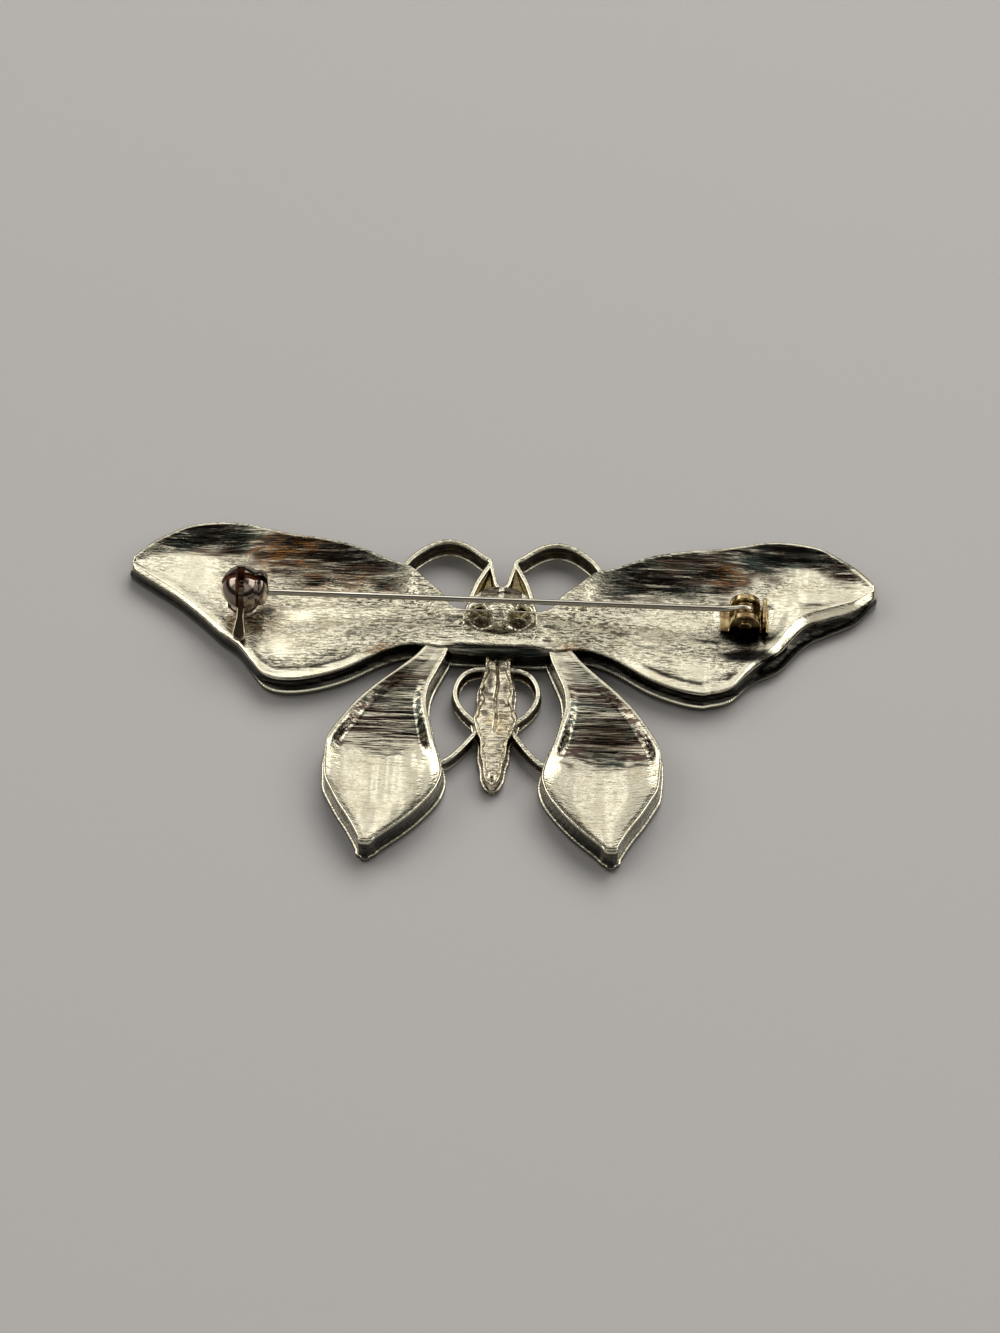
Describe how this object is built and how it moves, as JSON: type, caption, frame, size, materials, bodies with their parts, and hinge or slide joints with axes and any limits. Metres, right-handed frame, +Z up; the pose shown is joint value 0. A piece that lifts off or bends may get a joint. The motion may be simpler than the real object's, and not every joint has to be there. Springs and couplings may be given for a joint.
{
  "type": "butterfly brooch",
  "caption": "Cast butterfly brooch with a hinged pin that swings into a turning ball safety catch, for fastening to cloth.",
  "frame": {"origin": "under the middle of the brooch, on the surface that it lies on face down", "axes": "+X across the wings towards the pin's hinge, +Y towards the head, +Z up out of the back"},
  "size_m": [0.088, 0.0445, 0.0088],
  "materials": {
    "plated_casting": "pale gold plate, bright, with file marks and brown tarnish",
    "catch_metal": "polished pale gold plate, slightly darkened",
    "hinge_metal": "tarnished gold plate",
    "pin_wire": "polished pale gold wire"
  },
  "bodies": {
    "brooch": {"casting": "plated_casting", "catch_housing": "catch_metal", "hinge_bracket": "hinge_metal", "hinge_rivet": "hinge_metal"},
    "pin": {"pin_stem": "pin_wire"},
    "lock": {"catch_lock": "catch_metal"}
  },
  "joints": [
    {"name": "pin_swing", "type": "hinge", "parent": "brooch", "child": "pin", "pos_m": [0.0283, 0.0104, 0.0046], "axis": [0, 1, 0], "range_deg": [0, 110]},
    {"name": "catch_turn", "type": "hinge", "parent": "brooch", "child": "lock", "pos_m": [-0.03, 0.0104, 0.0054], "axis": [-1, 0, 0], "range_deg": [0, 110]}
  ]
}
